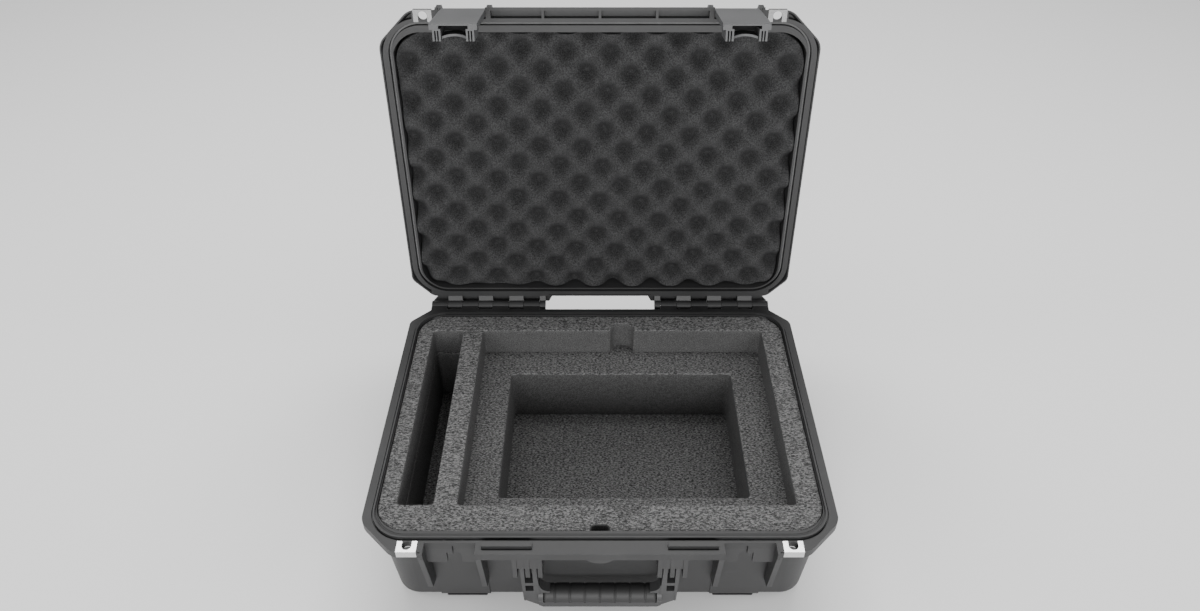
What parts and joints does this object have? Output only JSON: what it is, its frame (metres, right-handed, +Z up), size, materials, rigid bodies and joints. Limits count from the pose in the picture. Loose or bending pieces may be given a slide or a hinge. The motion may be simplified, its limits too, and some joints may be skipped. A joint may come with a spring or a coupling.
{
  "type": "laptop hard case",
  "caption": "Hard-shell carrying case for a laptop: hinged lid, trigger latches, swinging handle and cut foam inside.",
  "frame": {"origin": "on the floor under the middle of the open case's bounding box", "axes": "+X to the right as seen from the handle side, +Y towards the hinge, +Z up"},
  "size_m": [0.52, 0.5096, 0.5594],
  "materials": {
    "shell_plastic": "fine moulded texture, satin black-grey",
    "latch_plastic": "satin moulded, slightly lighter",
    "handle_plastic": "satin moulded",
    "grip_rubber": "soft matte",
    "gasket_rubber": "matte",
    "oring_rubber": "matte",
    "base_foam": "coarse closed-cell foam, charcoal",
    "lid_foam": "open-cell convoluted foam, dark charcoal",
    "bright_steel": "bright"
  },
  "bodies": {
    "base": {"base_tub": "shell_plastic", "base_rim": "shell_plastic", "base_fittings": "shell_plastic", "foam_bottom_pad": "base_foam", "foam_ledge_frame": "base_foam", "foam_top_frame": "base_foam", "hinge_pin_left": "bright_steel", "hinge_pin_right": "bright_steel", "base_padlock_plate_left": "bright_steel", "base_padlock_plate_right": "bright_steel", "handle_pin_left": "bright_steel", "handle_pin_right": "bright_steel", "valve_body": "latch_plastic", "valve_nut": "latch_plastic", "valve_oring": "oring_rubber"},
    "lid": {"lid_shell": "shell_plastic", "lid_gasket": "gasket_rubber", "lid_foam": "lid_foam", "lid_padlock_plate_left": "bright_steel", "lid_padlock_plate_right": "bright_steel", "latch_pin_left": "bright_steel", "latch_pin_right": "bright_steel"},
    "handle": {"handle_frame": "handle_plastic", "handle_grip": "grip_rubber"},
    "latch_left": {"latch_body_left": "latch_plastic", "trigger_pin_left": "bright_steel", "trigger_spring_left": "bright_steel"},
    "trigger_left": {"latch_trigger_left": "latch_plastic"},
    "latch_right": {"latch_body_right": "latch_plastic", "trigger_pin_right": "bright_steel", "trigger_spring_right": "bright_steel"},
    "trigger_right": {"latch_trigger_right": "latch_plastic"}
  },
  "joints": [
    {"name": "lid_hinge", "type": "hinge", "parent": "base", "child": "lid", "pos_m": [0, 0.16111, 0.1341], "axis": [-1, 0, 0], "range_deg": [-94.3, 0]},
    {"name": "latch_left_pivot", "type": "hinge", "parent": "lid", "child": "latch_left", "pos_m": [-0.1585, 0.21702, 0.53223], "axis": [-1, 0, 0], "range_deg": [-7, 100]},
    {"name": "trigger_left_pivot", "type": "hinge", "parent": "latch_left", "child": "trigger_left", "pos_m": [-0.1585, 0.1941, 0.54002], "axis": [-1, 0, 0], "range_deg": [0, 3.6], "stiffness_Nm_per_rad": 1.5, "springref_deg": -5.73, "deforming": ["trigger_spring_left"]},
    {"name": "latch_right_pivot", "type": "hinge", "parent": "lid", "child": "latch_right", "pos_m": [0.1585, 0.21702, 0.53223], "axis": [-1, 0, 0], "range_deg": [-7, 100]},
    {"name": "trigger_right_pivot", "type": "hinge", "parent": "latch_right", "child": "trigger_right", "pos_m": [0.1585, 0.1941, 0.54002], "axis": [-1, 0, 0], "range_deg": [0, 3.6], "stiffness_Nm_per_rad": 1.5, "springref_deg": -5.73, "deforming": ["trigger_spring_right"]},
    {"name": "handle_pivot", "type": "hinge", "parent": "base", "child": "handle", "pos_m": [0, -0.24309, 0.103], "axis": [-1, 0, 0], "range_deg": [0, 90]}
  ]
}
